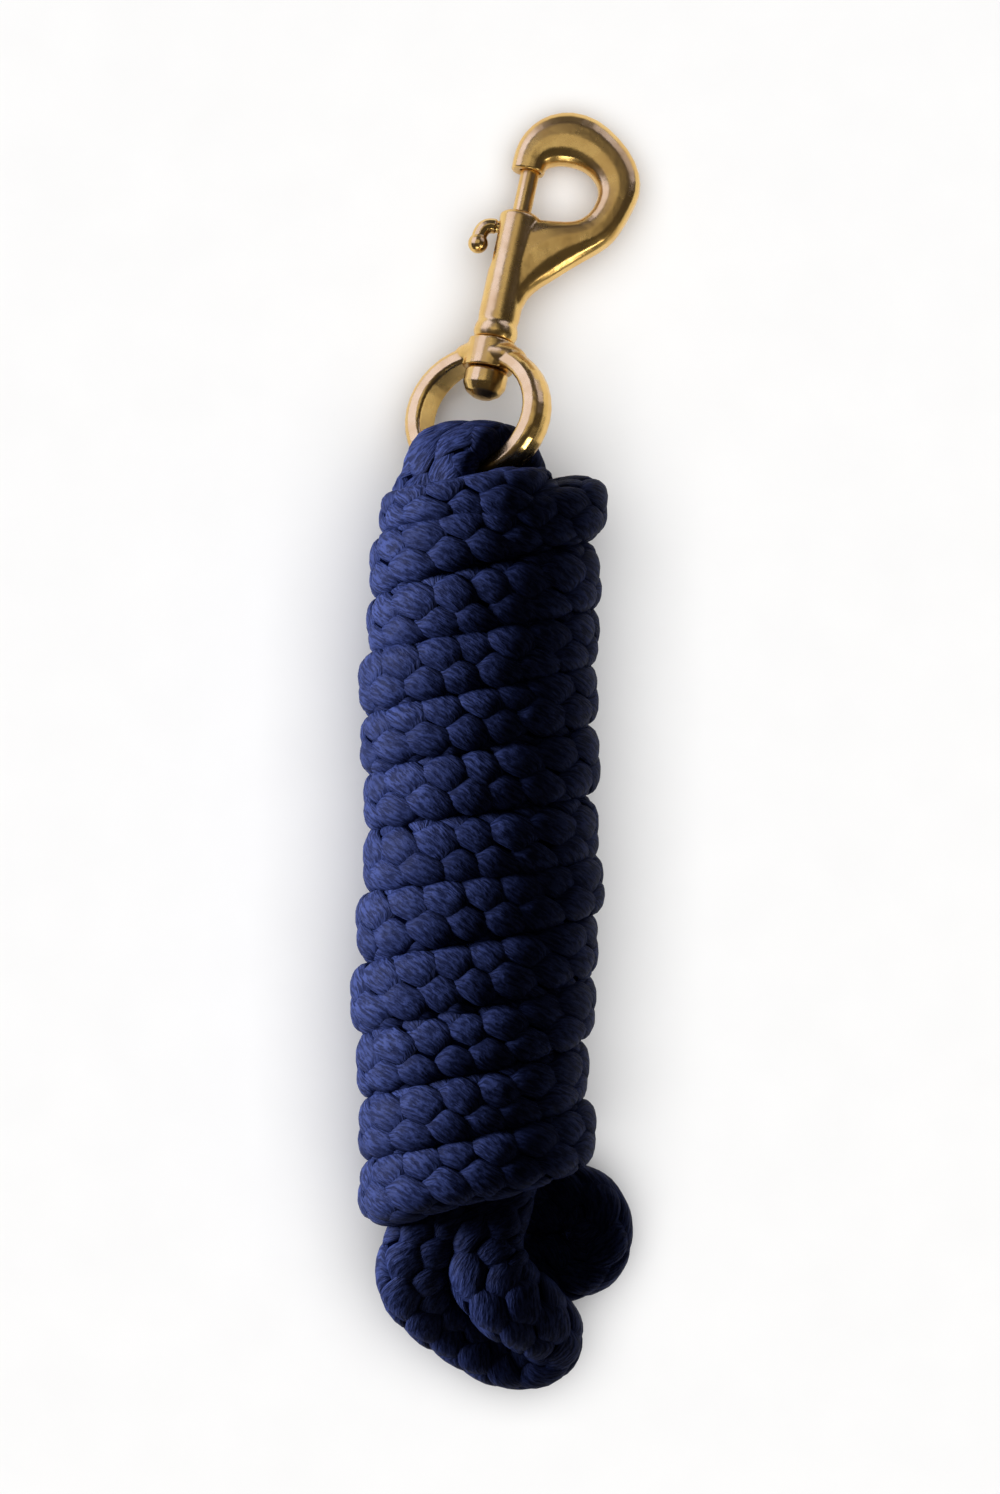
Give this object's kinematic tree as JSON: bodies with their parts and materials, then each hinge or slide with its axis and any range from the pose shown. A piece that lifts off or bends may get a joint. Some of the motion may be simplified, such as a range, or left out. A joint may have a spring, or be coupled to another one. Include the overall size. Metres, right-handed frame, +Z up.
{
  "type": "lead rope",
  "caption": "Lead rope for a horse, plaited and wound into a hank, with a swivelling brass bolt snap in the whipped eye at its end.",
  "frame": {"origin": "centre of the flat underside of the hank", "axes": "+Y along the hank towards the snap, +Z up from the surface it lies on, +X to the right with the snap away from the viewer"},
  "size_m": [0.0913, 0.4116, 0.057],
  "materials": {
    "rope": "plaited soft fibre",
    "twine": "waxed twine",
    "brass": "cast and polished",
    "spring": "drawn wire"
  },
  "bodies": {
    "rope": {"rope_wraps": "rope", "rope_core": "rope", "rope_tail": "rope", "rope_eye": "rope", "eye_whipping": "twine", "tail_whipping": "twine"},
    "ring": {"swivel_ring": "brass"},
    "snap": {"snap_body": "brass", "swivel_rivet": "brass", "bolt_spring": "spring"},
    "bolt": {"snap_bolt": "brass", "thumb_stud": "brass"}
  },
  "joints": [
    {"name": "ring_swing", "type": "hinge", "parent": "rope", "child": "ring", "pos_m": [-0.00487, 0.1134, 0.02801], "axis": [0.8209, -0.0644, 0.5674], "range_deg": [-30, 50]},
    {"name": "snap_swivel", "type": "hinge", "parent": "ring", "child": "snap", "pos_m": [-0.0007, 0.133, 0.0242], "axis": [0.2045, 0.9609, -0.1868], "continuous": true},
    {"name": "bolt_slide", "type": "slide", "parent": "snap", "child": "bolt", "axis": [-0.2045, -0.9609, 0.1868], "range_m": [0, 0.012], "stiffness_N_per_m": 400, "springref_m": -0.01, "deforming": ["bolt_spring"]}
  ]
}
